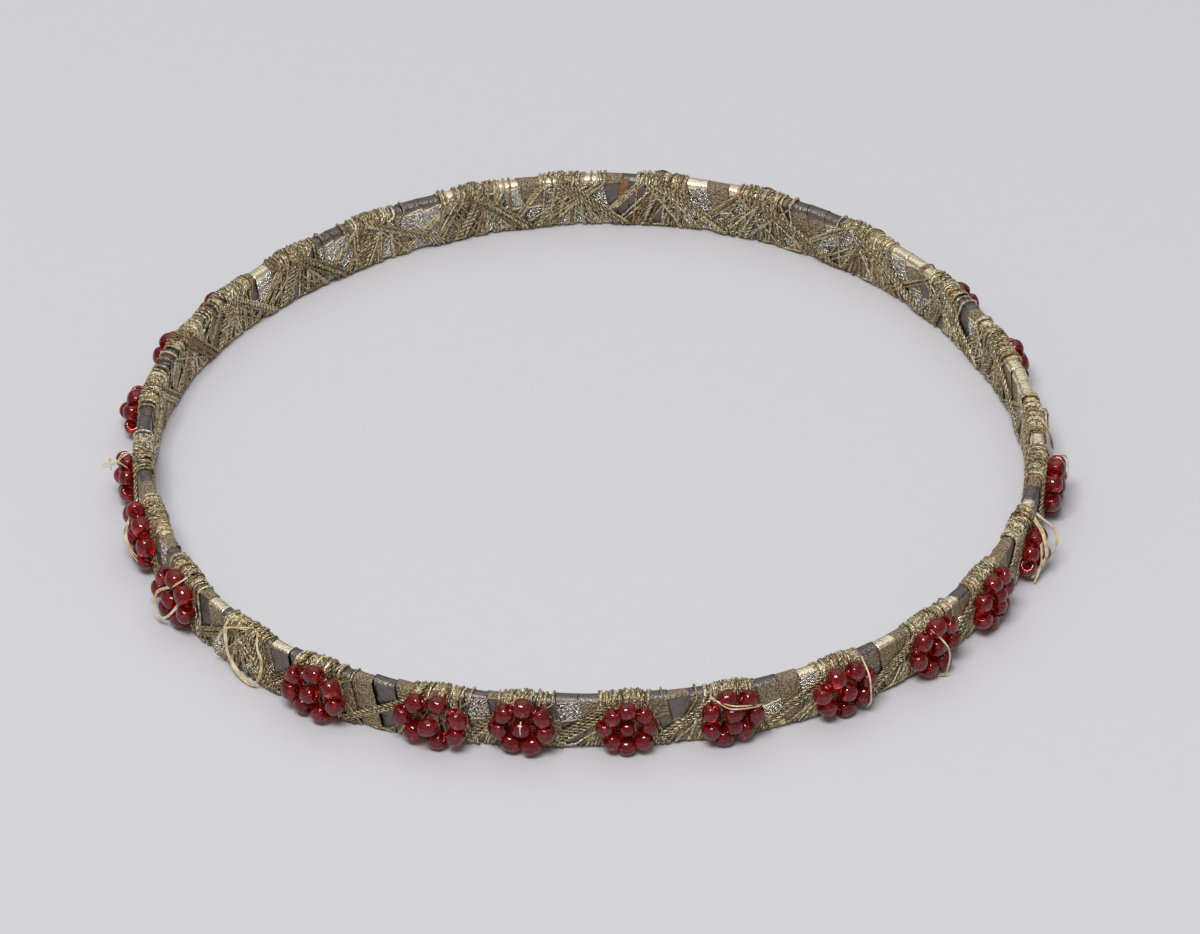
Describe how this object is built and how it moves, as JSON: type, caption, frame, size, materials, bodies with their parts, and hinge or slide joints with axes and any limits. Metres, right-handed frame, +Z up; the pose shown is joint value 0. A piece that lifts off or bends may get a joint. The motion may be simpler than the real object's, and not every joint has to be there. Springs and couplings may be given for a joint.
{
  "type": "headband",
  "caption": "Small closed hoop headband: flat strip wound with foil ribbon and gilt thread, with glass-bead flowers sewn round its outside.",
  "frame": {"origin": "middle of the resting side of the box that holds the hoop and its flowers, on the plane of the lowest windings", "axes": "+Z up through the hoop, across its band; +X to the right and +Y away in the view from the front, with the hoop lying flat"},
  "size_m": [0.0679, 0.067, 0.0047],
  "materials": {
    "strip_metal": "dark tarnished strip",
    "foil": "tarnished silver foil ribbon, smooth to crinkled",
    "gilt_thread": "two-ply gilt metal thread, dulled",
    "ruby_glass": "glossy translucent ruby glass",
    "sewing_thread": "cream cotton sewing thread"
  },
  "bodies": {
    "root": {"hoop_strip": "strip_metal", "foil_ribbon_1": "foil", "foil_ribbon_2": "foil", "foil_ribbon_3": "foil", "gilt_thread_rising_lay": "gilt_thread", "gilt_thread_falling_lay": "gilt_thread", "flower_02_petals": "ruby_glass", "flower_02_core": "ruby_glass", "flower_03_petals": "ruby_glass", "flower_03_core": "ruby_glass", "flower_04_petals": "ruby_glass", "flower_04_core": "ruby_glass", "flower_05_petals": "ruby_glass", "flower_05_core": "ruby_glass", "flower_06_petals": "ruby_glass", "flower_06_core": "ruby_glass", "flower_07_petals": "ruby_glass", "flower_07_core": "ruby_glass", "flower_08_petals": "ruby_glass", "flower_08_core": "ruby_glass", "flower_09_petals": "ruby_glass", "flower_09_core": "ruby_glass", "flower_10_petals": "ruby_glass", "flower_10_core": "ruby_glass", "flower_11_petals": "ruby_glass", "flower_11_core": "ruby_glass", "flower_12_petals": "ruby_glass", "flower_12_core": "ruby_glass", "flower_13_petals": "ruby_glass", "flower_13_core": "ruby_glass", "flower_14_petals": "ruby_glass", "flower_14_core": "ruby_glass", "flower_15_petals": "ruby_glass", "flower_15_core": "ruby_glass", "flower_16_petals": "ruby_glass", "flower_16_core": "ruby_glass", "flower_18_petals": "ruby_glass", "flower_18_core": "ruby_glass", "flower_19_petals": "ruby_glass", "flower_19_core": "ruby_glass", "flower_20_petals": "ruby_glass", "flower_20_core": "ruby_glass", "flower_21_petals": "ruby_glass", "flower_21_core": "ruby_glass", "flower_22_petals": "ruby_glass", "flower_22_core": "ruby_glass", "flower_23_petals": "ruby_glass", "flower_23_core": "ruby_glass", "flower_24_petals": "ruby_glass", "flower_24_core": "ruby_glass", "flower_25_petals": "ruby_glass", "flower_25_core": "ruby_glass", "flower_26_petals": "ruby_glass", "flower_26_core": "ruby_glass", "flower_27_petals": "ruby_glass", "flower_27_core": "ruby_glass", "sewing_loop_01": "sewing_thread", "sewing_loop_17": "sewing_thread"}
  },
  "joints": []
}
